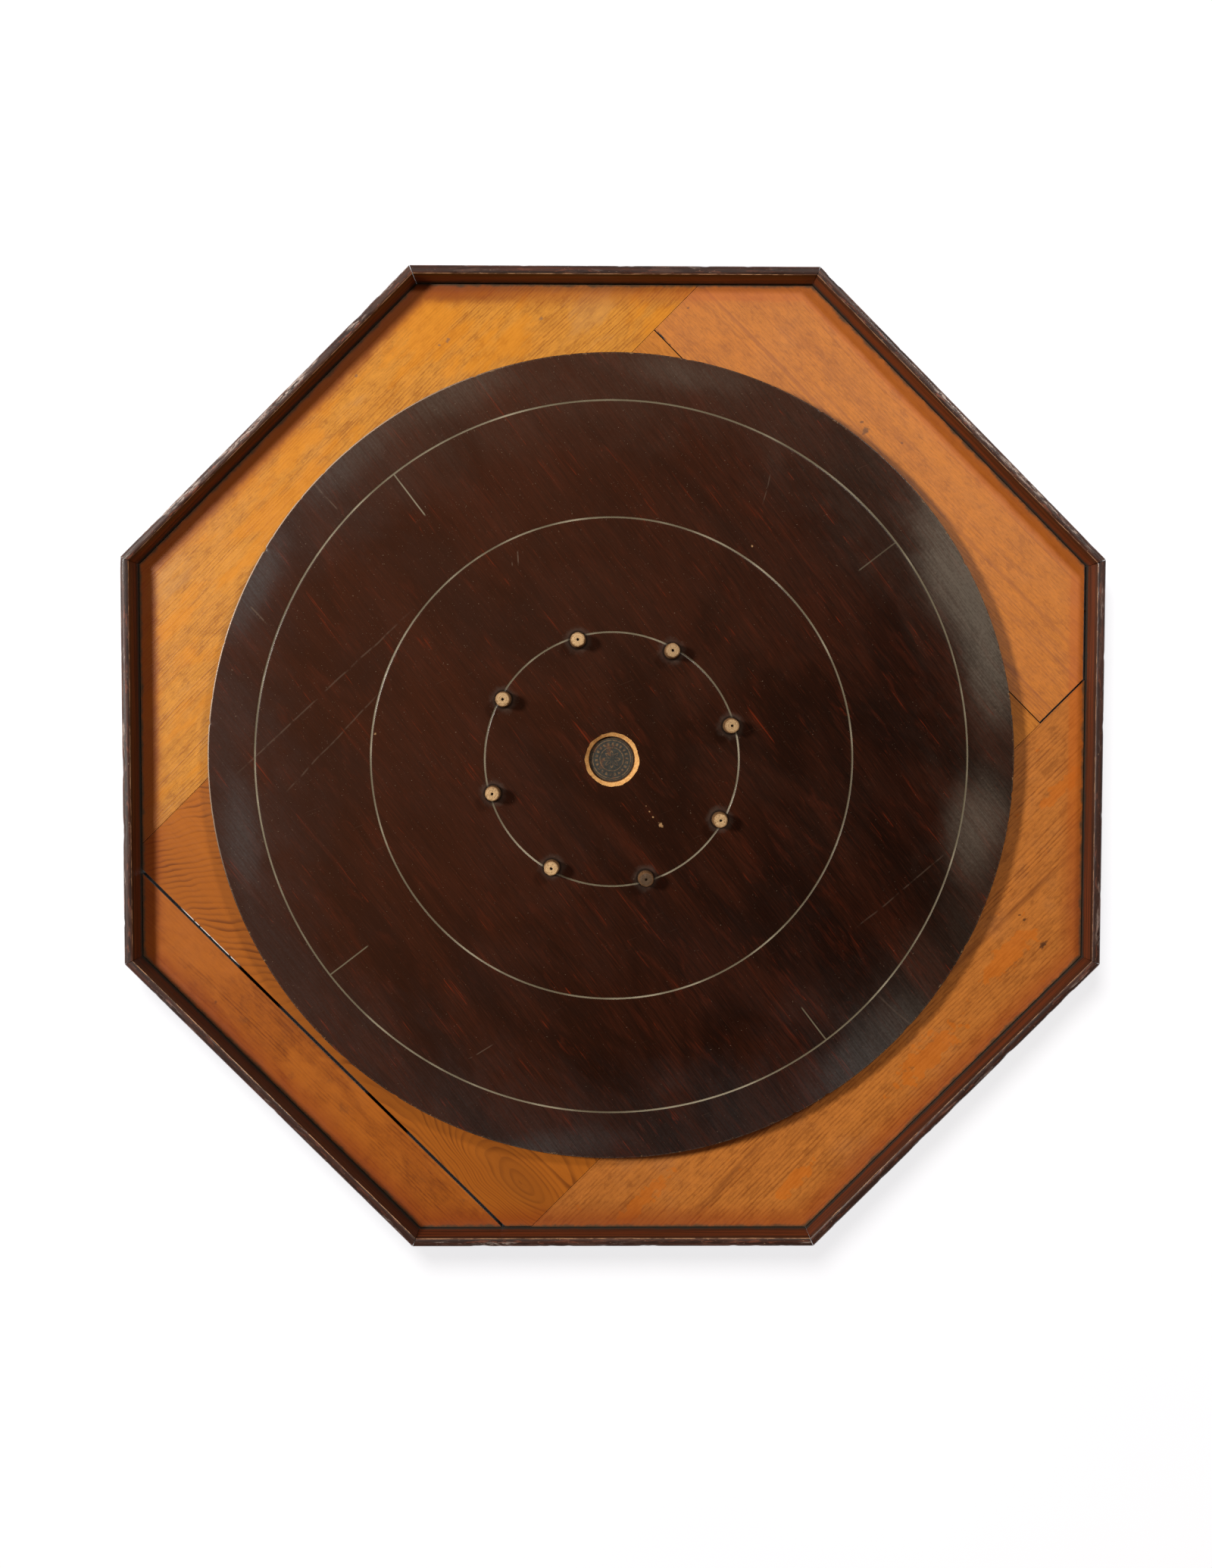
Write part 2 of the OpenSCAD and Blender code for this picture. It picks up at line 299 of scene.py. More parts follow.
def ditch_grime_and_shade(f, colour):
    """Old varnish, dirt and painted shade along the rails' feet, and how near the foot is.

    On the left a dark painted shadow lies along the rails. The old varnish along all
    the rails also reddens their shadows, so it is partly painted shade. At the upper
    right it is more orange, and a band of painted shadow about 13 mm wide runs along
    the feet there. The whole lower left corner is darker.
    """
    edge = INNER_FLAT - octagon_distance(f) + (f.noise(f.place, 0.09, 4, 0.65) - 0.5) * 6
    x, y, _ = f.split(f.place)
    west = (x * -0.85 + y * 0.55).rise(235, 330)
    # Painted shadow of the rails on the left.
    colour = f.mix(colour, paint(104, 42, 12), edge.rise(18, 11) * west * 0.62)
    east = (x * 0.8 + y * 0.6).rise(240, 300)
    old = f.mix(paint(146, 60, 14), paint(190, 92, 4), east)
    # Old varnish along every rail's foot, strong enough to redden the rails' shadows too: partly
    # painted shade.
    colour = f.mix(colour, old, edge.rise(24, 3) * (0.62 - east * 0.25))
    # Painted shadow: an orange band about 13 mm wide along the rails at the upper right.
    colour = f.mix(colour, old, edge.rise(14.5, 12.5) * east * 0.35)
    toward_lower_left = (x * -0.65 + y * -0.76).rise(190, 340)
    # Darker towards the lower left.
    colour = f.mix(colour, paint(106, 48, 12), toward_lower_left * 0.30)
    colour = f.mix(colour, paint(58, 56, 40), edge.rise(3.6, 0.6) * 0.85)
    return colour, edge


def bare_below(z):
    """1 on the lower part of a plank, which was never varnished."""
    return z.rise(BED_TOP - 1.5, BED_TOP - 3.5)


def joint_shade(z):
    """Painted shade: the sides of a plank, in its joints and gaps, are near black."""
    return z.rise(BED_TOP - 0.03, BED_TOP - 0.4) * z.rise(BED_UNDERSIDE + 0.02, BED_UNDERSIDE + 0.3)


# %% A plank's finish
def plank_wood(name, angle, light, dark, pith, spacing=2.2, wander=14.0, slope=0.0, seed=0.0,
               contrast=0.8, gloss=0.30, extra=None, bloom=0.0, polish=0.36, painted_glow=None):
    """Varnished fir above and raw wood below.

    Extra adds the plank's own marks, and the last argument gives a painted glow on the side of a
    gap.
    """
    f = Finish(name, Specular_IOR_Level=polish)
    rings, p = growth_rings(f, angle, pith, spacing, wander, slope, seed)
    late = late_wood(f, rings, seed)
    strength = f.stretched(p, 120, 14, 3.0, 0.6, seed + 3).rise(0.3, 0.65) * 0.65 + 0.35
    fibre = f.stretched(p, 7, 0.55, 4.0, 0.75, seed + 1)
    broad = f.stretched(p, 240, 26, 3.0, 0.55, seed + 2)
    patch = f.noise(f.place, 0.012, 3, 0.6)
    colour = f.mix(paint(*light), paint(*dark), late * strength * contrast)
    colour = f.mix(colour, paint(*dark), broad.rise(0.45, 0.80) * 0.32)
    colour = f.mix(colour, paint(*light, gain=1.22), (1 - broad).rise(0.5, 0.8) * 0.40)
    colour = f.mix(colour, paint(*dark, gain=0.55), fibre.rise(0.50, 0.68) * 0.42)
    colour = f.mix(colour, paint(*light, gain=1.4), fibre.rise(0.50, 0.32) * 0.36)
    mottle = f.noise(f.turned(angle, stretch=(0.08, 0.16, 0.16)), 1.0, 6, 0.7)
    colour = f.mix(colour, paint(*light, gain=1.3), mottle.rise(0.50, 0.62) * 0.34)
    colour = f.mix(colour, paint(*dark, gain=0.8), mottle.rise(0.48, 0.36) * 0.36)
    colour = f.mix(colour, paint(206, 160, 118), patch.rise(0.50, 0.72) * bloom)
    fleck = f.stretched(p, 2.2, 0.8, 2.0, 0.5, seed + 7).rise(0.70, 0.78)
    colour = f.mix(colour, paint(*dark, gain=0.35), fleck * 0.45)
    if extra:
        colour = extra(f, p, colour)
    colour, edge = ditch_grime_and_shade(f, colour)
    z = f.split(f.place)[2]
    below = bare_below(z)
    raw = f.mix(paint(166, 118, 72), paint(118, 78, 46),
                late * 0.6 + fibre.rise(0.4, 0.8) * 0.4)
    raw = f.mix(raw, paint(72, 56, 42), f.noise(f.place, 0.02, 5, 0.7).rise(0.45, 0.75) * 0.65)
    # Raw wood below, and painted shade on the plank's sides.
    colour = f.mix(f.mix(colour, raw, below), paint(16, 9, 5), joint_shade(z))
    rough = gloss + fibre * 0.12 + patch * 0.08 + edge.rise(9, 0) * 0.25 + below * 0.35
    height = late * 0.5 * strength + fibre * 0.5
    normal = f.bump(height, 0.20, 0.35, f.bump(patch, 0.18, 6.0))
    # A painted glow on the side of a gap.
    if painted_glow:
        f.set(Emission_Color=f.mix(paint(0, 0, 0), paint(236, 226, 214), painted_glow(f, p)),
              Emission_Strength=1.0)
    return f.set(Base_Color=colour, Roughness=rough, Normal=normal)


# %% [markdown]
# Each plank has its own tree and its own age of varnish. The two long outer
# planks have their grain towards the north east, and the five between them
# have it the other way. The lower left plank has a knot's swirl near its end.

# %% The planks' own marks
NORTH_EAST, NORTH_WEST = 45.0, 135.0


def ragged(f, mask, scale, seed=0.0):
    """Breaks a soft mask into ragged patches with noise drawn at one scale."""
    grit = f.noise(f.turned(0, shift=(seed, seed, 0)), scale, 5, 0.65)
    return (mask * 0.6 + (grit - 0.5) * 1.6).rise(0.22, 0.34)


def oval(f, x0, y0, long, short, angle):
    """A soft oval, 1 in its middle and 0 at its edge."""
    x, y, _ = f.split(f.turned(angle))
    c, s = math.cos(math.radians(angle)), math.sin(math.radians(angle))
    dx, dy = (x - (x0 * c + y0 * s)) / long, (y - (y0 * c - x0 * s)) / short
    return ((dx * dx + dy * dy) ** 0.5).rise(1.0, 0.0)


def upper_left_marks(f, p, colour):
    glow = f.noise(f.turned(NORTH_EAST, stretch=(0.010, 0.030, 0.030)), 1.0, 5, 0.6)
    colour = f.mix(colour, paint(224, 138, 12), glow.rise(0.50, 0.60) * 0.50)
    colour = f.mix(colour, paint(200, 150, 92), glow.rise(0.44, 0.34) * 0.30)
    return spots(f, colour, paint(120, 96, 78), 0.6, 1.4, (
        (-211, 315, 1.5, 80), (-136, 344, 2.0, 70), (-143, 340, 1.2, 20), (-60, 362, 1.6, 40)))


def upper_right_marks(f, p, colour):
    streak = f.stretched(p, 420, 5, 2.0, 0.5, 31).rise(0.6, 0.76)
    colour = f.mix(colour, paint(150, 82, 32), streak * 0.5)
    colour = spots(f, colour, paint(84, 54, 34), 0.7, 1.5, (
        (206, 272, 3.2, 50), (203, 279, 1.4, 20), (236, 262, 1.0, 0), (60, 371, 1.2, 10)))
    crack = scratch(f, (34.6, 352), (47, 339.5), 0.9, 0.2)
    return f.mix(colour, paint(30, 18, 10), crack)


# %% Lower right plank and strip
FRESH_PATCHES = ((262, -246, 62, 20), (330, -160, 50, 18), (352, -205, 26, 9),
                 (20, -372, 60, 12), (372, -20, 40, 10), (150, -352, 40, 10))
DARK_STREAK = -319.0
STRIP_EDGE = 341.0
OPEN_FROM, OPEN_TO = 103.0, 165.0


def lower_right_marks(f, p, colour):
    """Orange patches where the varnish is still whole, and one dark streak."""
    x, across, _ = f.split(p)
    whole = gather([oval(f, *patch, NORTH_EAST) for patch in FRESH_PATCHES], "MAXIMUM")
    colour = f.mix(colour, paint(204, 106, 10), ragged(f, whole, 0.13) * 0.50)
    drift = (f.stretched(p, 160, 40, 1, 0.4, 8) - 0.5) * 16
    dark = (across - DARK_STREAK + drift + x * 0.02).math("ABSOLUTE")
    fade = f.stretched(p, 60, 4, 3, 0.6, 18).rise(0.3, 0.6)
    colour = f.mix(colour, paint(112, 56, 20), dark.rise(4.4, 0.6) * fade * 0.62)
    return spots(f, colour, paint(58, 34, 20), 0.8, 1.8, (
        (358, -152, 3.0, 50), (342, -131, 1.3, 45), (338, -127, 1.0, 0), (-118, -362, 1.4, 30)))


def strip_marks(f, p, colour):
    glow = f.noise(f.turned(NORTH_WEST, stretch=(0.010, 0.030, 0.030)), 1.0, 5, 0.6, 0.5)
    colour = f.mix(colour, paint(208, 120, 34), glow.rise(0.48, 0.62) * 0.55)
    smudge = f.noise(f.place, 0.05, 4, 0.6).rise(0.60, 0.72)
    colour = f.mix(colour, paint(96, 62, 36), smudge * 0.35)
    return spots(f, colour, paint(66, 46, 34), 0.6, 1.3, (
        (-268, -296, 1.8, 40), (-240, -310, 1.2, 0), (-330, -200, 1.5, 60)))


def strip_painted_glow(f, p):
    """A painted glow on the side of the open gap beside the strip, near its upper end, standing in
    for the table seen through it.
    """
    x, y, _ = f.split(p)
    z = f.split(f.place)[2]
    open_part = x.rise(OPEN_FROM - 5, OPEN_FROM + 5) * x.rise(OPEN_TO + 5, OPEN_TO - 5)
    broken = f.noise(f.place, 0.22, 2).rise(0.36, 0.44)
    foot = z.rise(15.0, 14.2) * z.rise(BED_UNDERSIDE + 0.2, BED_UNDERSIDE + 0.6)
    return open_part * broken * foot * y.band(STRIP_EDGE, 0.2, 0.2)


print("fresh patches:", len(FRESH_PATCHES), "open gap in mm:", OPEN_TO - OPEN_FROM)

# %% The knotted plank
KNOT = (-193.0, 303.0)


def swirl_plank(name):
    """The lower left plank: wide arches that turn into a swirl round a knot."""
    f = Finish(name, Specular_IOR_Level=0.36)
    p = f.turned(NORTH_WEST)
    x, y, z = f.split(p)
    drift = f.stretched(p, 90, 40, 2.0, 0.5, 4) - 0.5
    ripple = f.stretched(p, 24, 9, 2.0, 0.5, 6) - 0.5
    kx, ky = (x - KNOT[0]) * 0.36, y - KNOT[1] + drift * 16
    swirl = (kx * kx + ky * ky) ** 0.5
    arches = (y - 250 - x * 0.42 + drift * 40) * 0.8 - (x + 40) * (x + 40) * 0.0016
    near = swirl.rise(46, 10)
    field = arches * (1 - near) + (swirl * 1.15 + drift * 26) * near
    rings = (field + ripple * 1.6) / 6.4
    late = late_wood(f, rings, 8.0)
    strength = f.stretched(p, 120, 18, 2.0, 0.5, 8).rise(0.3, 0.65) * 0.75 + 0.2
    fibre = f.stretched(p, 16, 0.9, 4.0, 0.75, 2)
    broad = f.stretched(p, 120, 30, 3.0, 0.55, 3)
    colour = f.mix(paint(184, 104, 26), paint(92, 44, 10), late * strength * 0.85)
    colour = f.mix(colour, paint(198, 116, 34), broad.rise(0.45, 0.75) * 0.5)
    colour = f.mix(colour, paint(104, 60, 20), swirl.rise(24, 3) * 0.30)
    colour = f.mix(colour, paint(92, 44, 8), fibre.rise(0.5, 0.8) * 0.3)
    colour, edge = ditch_grime_and_shade(f, colour)
    below = bare_below(z)
    raw = f.mix(paint(150, 104, 62), paint(84, 60, 42), late * 0.5 + broad * 0.4)
    colour = f.mix(colour, raw, below)
    # Painted shade on the plank's sides.
    colour = f.mix(colour, paint(16, 9, 5), joint_shade(z))
    rough = 0.30 + fibre * 0.12 + edge.rise(9, 0) * 0.25 + below * 0.35
    normal = f.bump(late * 0.5 + fibre * 0.5, 0.20, 0.35, f.bump(broad, 0.2, 4.0))
    return f.set(Base_Color=colour, Roughness=rough, Normal=normal)


# %% Seven plank finishes
# Finish, grain, light and dark colours, pith, ring spacing, wander, slope, seed,
# contrast, gloss, own marks, bloom and polish.
PLANK_FINISHES = {
    "upper_left_plank": plank_wood(
        "fir_upper_left", NORTH_EAST, (208, 140, 50), (152, 80, 22), (-120, -230), 2.1,
        14, 0.0, 1.0, 0.80, 0.28, upper_left_marks, 0.05),
    "upper_right_plank": plank_wood(
        "fir_upper_right", NORTH_WEST, (198, 118, 30), (154, 80, 16), (-520, -160), 2.0,
        12, 0.0, 2.0, 0.60, 0.40, upper_right_marks, 0.05, 0.70),
    "lower_right_plank": plank_wood(
        "fir_lower_right", NORTH_EAST, (190, 116, 46), (132, 68, 18), (120, -260), 2.7,
        10, 0.0, 3.0, 0.90, 0.34, lower_right_marks, 0.12),
    "lower_left_strip": plank_wood(
        "fir_strip", NORTH_WEST, (172, 94, 22), (116, 54, 12), (600, -200), 2.1,
        10, 0.0, 4.0, 0.9, 0.30, strip_marks, painted_glow=strip_painted_glow),
    "centre_plank_1": plank_wood(
        "fir_centre_1", NORTH_WEST, (198, 124, 46), (152, 84, 26), (-60, -90), 2.6,
        20, 0.03, 5.0, 0.6),
    "centre_plank_2": plank_wood(
        "fir_centre_2", NORTH_WEST, (180, 98, 24), (128, 62, 12), (40, -60), 3.0,
        20, 0.04, 6.0, 0.6),
    "lower_left_plank": swirl_plank("fir_lower_left"),
}


def carry_over(node, material):
    """A CAD node that keeps its exact shape and gets its finish here."""
    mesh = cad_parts[node].data
    mesh.materials.clear()
    mesh.materials.append(material)


for plank, material in PLANK_FINISHES.items():
    carry_over(plank, material)
print("plank finishes:", len(PLANK_FINISHES))

# %% [markdown]
# ## The playing disc
#
# The top is a dark stained hardwood with red streaks. Its shape is a turned
# one, so its section is spun round its axis: a slightly rounded rim, three
# scored circles, and the recess with its bevel. The bevel was cut by hand, so
# its edge is moved in and out afterwards, and small bites are taken out of the rim.

# %% Arcs and spun sections
def arc(middle, radius, start, end, steps):
    """Points of an arc, from start to end in degrees."""
    turns = [math.radians(start + (end - start) * k / steps) for k in range(steps + 1)]
    return [(middle[0] + radius * math.cos(t), middle[1] + radius * math.sin(t)) for t in turns]


def spin_section(points, steps, sectors):
    """A solid of revolution round Z from (radius, height) points on an open line.

    One sector is spun, and the whole turn is made of copies of it, which is much
    faster than one long spin.
    """
    bm = bmesh.new()
    verts = [bm.verts.new((radius, 0, height)) for radius, height in points]
    edges = [bm.edges.new(pair) for pair in zip(verts, verts[1:])]
    sector = math.tau / sectors
    bmesh.ops.spin(bm, geom=verts + edges, cent=(0, 0, 0), axis=(0, 0, 1),
                   angle=sector, steps=steps)
    whole = bm.verts[:] + bm.edges[:] + bm.faces[:]
    bmesh.ops.spin(bm, geom=whole, cent=(0, 0, 0), axis=(0, 0, 1),
                   angle=math.tau - sector, steps=sectors - 1, use_duplicate=True)
    bmesh.ops.remove_doubles(bm, verts=bm.verts, dist=1e-3)
    bmesh.ops.recalc_face_normals(bm, faces=bm.faces)
    return bm


# %% From a bmesh to a piece
def deliver(bm, name, material, stands_for, sharp=35.0):
    """Turns a bmesh in millimetres into a finished piece on the root body."""
    bm.transform(Matrix.Scale(MM, 4))
    for face in bm.faces:
        face.smooth = True
    limit = math.radians(sharp)
    for edge in bm.edges:
        edge.smooth = len(edge.link_faces) == 2 and edge.calc_face_angle(0) < limit
    mesh = bpy.data.meshes.new(name)
    bm.to_mesh(mesh)
    triangles = sum(len(face.verts) - 2 for face in bm.faces)
    bm.free()
    piece = bpy.data.objects.new(name, mesh)
    bpy.context.scene.collection.objects.link(piece)
    mesh.materials.append(material)
    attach(piece, "root")
    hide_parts(*stands_for)
    print(name, "triangles:", triangles)


# %% The disc's section
def groove(radius):
    """A scored line, seen in section, from outside to inside."""
    half = [(2.2, 0), (1.0, 0), (0.7, 0.12), (0.35, 0.34)]
    return [(radius + reach, DISC_TOP - sink) for reach, sink in half] + \
        [(radius - reach, DISC_TOP - sink) for reach, sink in reversed(half)]


BEVEL_WIDTH, LABEL_RADIUS, POCKET_DEPTH = 3.3, 18.35, 0.3
section = [(0, BED_TOP), (DISC_RADIUS - 0.5, BED_TOP), (DISC_RADIUS, BED_TOP + 0.5)]
section += [(DISC_RADIUS, DISC_TOP - 5), (DISC_RADIUS, DISC_TOP - 2.2)]
section += arc((DISC_RADIUS - 0.8, DISC_TOP - 0.8), 0.8, 0, 90, 4)
section += [(DISC_RADIUS - inward, DISC_TOP) for inward in (1.8, 4, 8)]
for circle in CIRCLES:
    section += groove(circle)
section += [(radius, DISC_TOP) for radius in (60, 28, 25, RECESS_RADIUS + BEVEL_WIDTH)]
section += [(RECESS_RADIUS + BEVEL_WIDTH * 0.55, DISC_TOP - 1.35), (RECESS_RADIUS, DISC_TOP - 3)]
section += [(RECESS_RADIUS, RECESS_FLOOR), (LABEL_RADIUS, RECESS_FLOOR)]
section += [(LABEL_RADIUS, RECESS_FLOOR - POCKET_DEPTH), (0, RECESS_FLOOR - POCKET_DEPTH)]
disc = spin_section(section, 24, 50)
print("points in the disc's section:", len(section))

# %% Wear the rim and the bevel
BEVEL_FLATS = 16
RIM_WIDTH, RIM_DEPTH = 4.5, 5.5


def wear_disc(bm):
    """A hand-cut bevel with flats, a bitten rim and a top that isn't quite flat."""
    for vert in bm.verts:
        radius = math.hypot(vert.co.x, vert.co.y)
        if radius < 1e-6:
            continue
        out = Vector((vert.co.x, vert.co.y, 0)) / radius
        turn = math.atan2(vert.co.y, vert.co.x)
        if RECESS_RADIUS + 0.2 < radius < 26 and vert.co.z > DISC_TOP - 2.5:
            wide = 0.35 * math.cos(turn + 0.6)
            wide += 0.6 * noise.noise(out * 2.4 + Vector((3, 1, 0)))
            flat = math.tau / BEVEL_FLATS
            within = (turn + 0.4 * noise.noise(out * 3)) % flat - flat / 2
            wide += 22.0 * (1 / math.cos(within) - 1.01)
            share = (radius - RECESS_RADIUS) / BEVEL_WIDTH
            vert.co += out * wide * min(share, 1)
        if radius > DISC_RADIUS - RIM_WIDTH and vert.co.z > DISC_TOP - RIM_DEPTH:
            bite = max(0.0, noise.noise(out * 40) + 0.4 * noise.noise(out * 90) - 0.47)
            edge = max(0.0, 1 - (DISC_RADIUS - radius) / RIM_WIDTH)
            edge *= max(0.0, 1 - (DISC_TOP - vert.co.z) / RIM_DEPTH)
            vert.co -= (out * 1.5 + Vector((0, 0, 0.9))) * min(bite, 0.5) * edge * 2.0
            vert.co -= out * 0.10 * (1 + noise.noise(out * 30)) * edge
        if radius > 24 and vert.co.z > DISC_TOP - 0.05:
            vert.co.z -= 0.03 * (1 + noise.noise(vert.co * 0.01))


wear_disc(disc)
bmesh.ops.translate(disc, verts=disc.verts, vec=DISC_MIDDLE)
print("points on the disc:", len(disc.verts))

# %% [markdown]
# The finish has layers, each made by a function that takes a colour and gives a
# new one: the stained wood, the haze towards the rim with a painted reflection in
# it, the pale paint in the scored lines, the scuffs and dust, and the damage with
# a painted highlight along the rim. Round each peg the surface is scuffed grey.
# The pegs repeat every 45 degrees, so the angle is folded into one sector and a
# single scuff is drawn there.

# %% Where the disc's marks are
# Patches of haze and painted reflection: x, y, length, width, angle and strength.
HAZE_AND_REFLECTION_PATCHES = (
    (286, 156, 120, 56, 117, 1.25), (306, 74, 74, 40, 104, 0.8), (298, -52, 70, 42, 80, 0.7),
    (-292, 146, 84, 30, 62, 0.55), (-216, 248, 90, 30, 42, 0.40), (-130, 304, 90, 34, 22, 0.4),
    (218, -240, 110, 56, 42, 0.50), (-304, -60, 90, 26, 100, 0.35), (60, 314, 90, 24, -10, 0.3),
    (-60, -320, 110, 24, 10, 0.3))
# The four ticks: length, and how much of the paint is left.
TICKS = ((41, 0.95), (38.5, 1.0), (33, 0.9), (37, 0.45))
# Scratches: start, end, width and strength.
SCRATCHES = (
    ((-312, -14), (-160, 128), 0.9, 0.30), ((-270, -27), (-188, 60), 0.9, 0.28),
    ((-296, 127), (-281, 111), 0.9, 0.5), ((-247, 229), (-219, 198), 0.8, 0.4),
    ((198, -138), (282, -66), 0.8, 0.22), ((-79, 172), (-78, 160), 0.7, 0.6),
    ((-84, 168), (-83, 159), 0.6, 0.5), ((120, 208), (127, 236), 0.6, 0.3),
    ((-120, -245), (-98, -232), 0.6, 0.4), ((216, -190), (262, -232), 1.0, 0.2))
# Chips: x, y, radius, stretch and angle.
CHIPS = ((38.6, -51.4, 1.9, 1.5, -42), (32, -45, 0.9, 1, 0), (29.2, -40.4, 0.8, 1, 0),
         (26.4, -35.8, 0.5, 1, 0), (-195, 23, 1.2, 1.3, 30), (112, 176, 1.1, 1, 0))
print("haze patches:", len(HAZE_AND_REFLECTION_PATCHES), "scratches:", len(SCRATCHES), "chips:", len(CHIPS))


# %% The disc's stained wood
def disc_wood(f, p, x, y):
    """Dark wood with red flames and threads, and the masks its gloss and bump need."""
    fine = f.stretched(p, 22, 0.7, 5.0, 0.75, 1)
    wave = f.noise(f.turned(DISC_GRAIN, stretch=(0.006, 0.022, 0.022)), 1.0, 3, 0.5)
    figure = (f.split(p)[1] * 0.16 + wave * 9.0).math("FRACT")
    figure = figure.rise(0.15, 0.85) * figure.rise(1.0, 0.86)
    streak = f.stretched(p, 110, 2.0, 4.0, 0.65, 2)
    broad = f.noise(f.turned(DISC_GRAIN, stretch=(0.004, 0.012, 0.012)), 1.0, 3, 0.6, 1.2)
    colour = f.mix(paint(26, 9, 4), paint(46, 20, 10), broad.rise(0.36, 0.66))
    colour = f.mix(colour, paint(60, 25, 13), figure * broad.rise(0.40, 0.60) * 0.30)
    flame = f.turned(DISC_GRAIN, shift=(3, 0, 0), stretch=(0.020, 0.085, 0.085))
    flame = f.noise(flame, 1.0, 5, 0.62, 0.8)
    colour = f.mix(colour, paint(72, 28, 14), flame.rise(0.54, 0.70) * 0.40)
    red = streak.rise(0.58, 0.68) * flame.rise(0.53, 0.62)
    colour = f.mix(colour, paint(128, 42, 14), red * 0.62)
    threads = f.stretched(p, 95, 1.3, 3.0, 0.6, 33)
    lit_threads = threads.rise(0.60, 0.72) * broad.rise(0.42, 0.58)
    colour = f.mix(colour, paint(92, 36, 18), lit_threads * 0.36)
    colour = f.mix(colour, paint(15, 7, 5), threads.rise(0.44, 0.34) * 0.40)
    colour = f.mix(colour, paint(78, 38, 24), fine.rise(0.46, 0.30) * 0.35)
    colour = f.mix(colour, paint(12, 5, 3), fine.rise(0.50, 0.66) * 0.70)
    short = f.stretched(p, 18, 0.6, 2.0, 0.5, 22).rise(0.68, 0.76)
    colour = f.mix(colour, paint(108, 44, 20), short * 0.45)
    pores = f.stretched(p, 5, 0.35, 2.0, 0.6, 5).rise(0.64, 0.76)
    colour = f.mix(colour, paint(12, 6, 4), pores * 0.6)
    # Paler towards the upper left.
    paler_upper_left = (x * -0.9 + y * 0.45).rise(-260, 300)
    colour = f.mix(colour, paint(88, 50, 32), paler_upper_left * 0.32)
    return colour, fine, threads, streak, pores


# %% The disc's haze and painted reflection
def disc_haze_and_reflection(f, colour, radius, x, y, fine, threads):
    """Grey haze of scuffed varnish with a painted reflection in it, thickest in patches near the
    rim.
    """
    haze = f.noise(f.turned(DISC_GRAIN, stretch=(0.8, 1, 1)), 0.014, 9, 0.66, 0.4)
    rim = (radius + (haze - 0.5) * 130).rise(240, 335)
    film_and_reflection = rim * 0.16 + haze.rise(0.40, 0.66) * 0.03
    for *place, strength in HAZE_AND_REFLECTION_PATCHES:
        patch = oval(f, *place)
        film_and_reflection = film_and_reflection + patch * strength * (haze + patch * 0.45).rise(0.36, 0.86)
    speckle = f.noise(f.place, 0.45, 5, 0.75)
    film_and_reflection = film_and_reflection * (0.78 + speckle.rise(0.3, 0.7) * 0.45)
    film_and_reflection = film_and_reflection * (1.15 - (fine * 0.6 + threads * 0.4).rise(0.40, 0.60) * 0.45)
    tone = f.mix(paint(88, 90, 90), paint(106, 97, 86), (x + y).rise(-120, 160))
    # The haze is grey and partly a painted reflection, warmer towards the upper right.
    return f.mix(colour, tone, (film_and_reflection * 0.60).math("MINIMUM", 0.80)), film_and_reflection, haze, speckle


# %% The disc's painted lines
def disc_lines(f, colour, radius, x, y):
    """Pale paint in the three circles and the four ticks."""
    wobble = (f.noise(f.place, 0.05, 3, 0.6) - 0.5) * 0.9
    lines = [radius.band(circle, 0.52, 0.35) for circle in CIRCLES]
    for number, (length, paint_left) in enumerate(TICKS):
        angle = math.radians(DISC_GRAIN + 90 * number)
        c, s = math.cos(angle), math.sin(angle)
        along, off = x * c + y * s, y * c - x * s
        mark = (off + wobble * 0.5).math("ABSOLUTE").rise(0.75, 0.30)
        inner_end = along.rise(CIRCLES[0] - length - 2, CIRCLES[0] - length + 1)
        outer_end = along.rise(CIRCLES[0] + 0.5, CIRCLES[0] - 0.5)
        lines.append(mark * inner_end * outer_end * paint_left)
    fade = f.noise(f.place, 0.03, 4, 0.7).rise(0.25, 0.6) * 0.20 + 0.75
    line = gather(lines).math("MINIMUM", 1.0) * fade
    old = f.noise(f.place, 0.02, 3).rise(0.42, 0.7)
    return f.mix(colour, f.mix(paint(112, 104, 84), paint(160, 152, 130), old), line), line


# %% The disc's scuffs and dust
def peg_distance(radius, turn):
    """Distance from the nearest peg's axis."""
    step = math.radians(PEG_STEP)
    sector = (turn - math.radians(PEG_START) + step / 2 + 4 * math.tau) / step
    local = (sector.math("FRACT") - 0.5) * step
    px = radius * local.math("COSINE") - PEG_CIRCLE
    py = radius * local.math("SINE")
    return (px * px + py * py) ** 0.5


def disc_scuffs(f, colour, radius, turn, x, y):
    """Grey scuffs round the pegs, dust, and fine scores and scratches."""
    reach = peg_distance(radius, turn)
    scuff = reach + (f.noise(f.place, 0.16, 4, 0.65) - 0.5) * 9
    colour = f.mix(colour, paint(84, 74, 66), scuff.rise(13, 6.5) * 0.42)
    colour = f.mix(colour, paint(16, 9, 6), reach.rise(8.8, 6.9) * 0.75)
    dusty = (x * -0.7 + y * 0.7).rise(-200, 260) * 0.030
    dust = (f.noise(f.place, 0.85, 2, 0.5) + dusty).rise(0.735, 0.79)
    colour = f.mix(colour, paint(138, 118, 98), dust * 0.55)
    scores = f.stretched(f.turned(22), 20, 0.55, 1.0, 0.4, 12).rise(0.75, 0.80)
    scores = scores * f.noise(f.place, 0.02, 2).rise(0.5, 0.7)
    colour = f.mix(colour, paint(92, 70, 56), scores * 0.4)
    for start, end, width, strength in SCRATCHES:
        colour = f.mix(colour, paint(112, 96, 82), scratch(f, start, end, width) * strength)
    return colour


